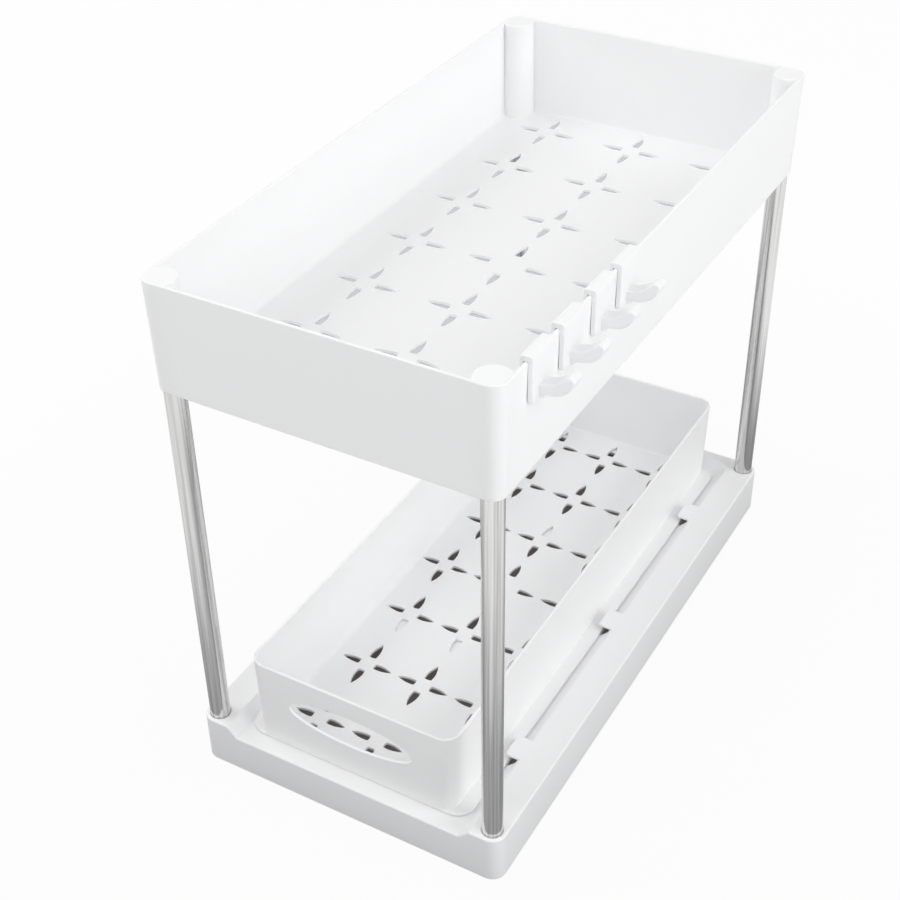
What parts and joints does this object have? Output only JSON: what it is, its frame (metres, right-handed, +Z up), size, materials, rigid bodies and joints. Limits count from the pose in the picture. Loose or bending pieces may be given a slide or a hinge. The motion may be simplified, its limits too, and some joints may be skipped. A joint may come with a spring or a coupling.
{
  "type": "under sink organizer",
  "caption": "Two-tier organizer: slotted top tray on four metal corner tubes over a base with a pull-out slotted drawer, with clip-over hooks on the tray rim.",
  "frame": {"origin": "centre of the base's footprint, on the ground", "axes": "+Z up; -Y is the front, where the drawer slides out; +X is the side that the hooks hang on"},
  "size_m": [0.2364, 0.418, 0.3553],
  "materials": {
    "base_plastic": "white moulded plastic, satin",
    "tray_plastic": "white moulded plastic, satin",
    "drawer_plastic": "white moulded plastic, satin",
    "hook_plastic": "white moulded plastic, satin",
    "tube_metal": "polished steel tube"
  },
  "bodies": {
    "frame": {"base_frame": "base_plastic", "tube_front_left": "tube_metal", "tube_front_right": "tube_metal", "tube_back_left": "tube_metal", "tube_back_right": "tube_metal", "top_tray": "tray_plastic"},
    "drawer": {"drawer": "drawer_plastic"},
    "hook_1": {"hook_1": "hook_plastic"},
    "hook_2": {"hook_2": "hook_plastic"},
    "hook_3": {"hook_3": "hook_plastic"},
    "hook_4": {"hook_4": "hook_plastic"}
  },
  "joints": [
    {"name": "drawer_slide", "type": "slide", "parent": "frame", "child": "drawer", "axis": [0, -1, 0], "range_m": [0, 0.3]},
    {"name": "hook_1_lift", "type": "slide", "parent": "frame", "child": "hook_1", "axis": [0, 0, 1], "range_m": [0, 0.03]},
    {"name": "hook_2_lift", "type": "slide", "parent": "frame", "child": "hook_2", "axis": [0, 0, 1], "range_m": [0, 0.03]},
    {"name": "hook_3_lift", "type": "slide", "parent": "frame", "child": "hook_3", "axis": [0, 0, 1], "range_m": [0, 0.03]},
    {"name": "hook_4_lift", "type": "slide", "parent": "frame", "child": "hook_4", "axis": [0, 0, 1], "range_m": [0, 0.03]}
  ]
}
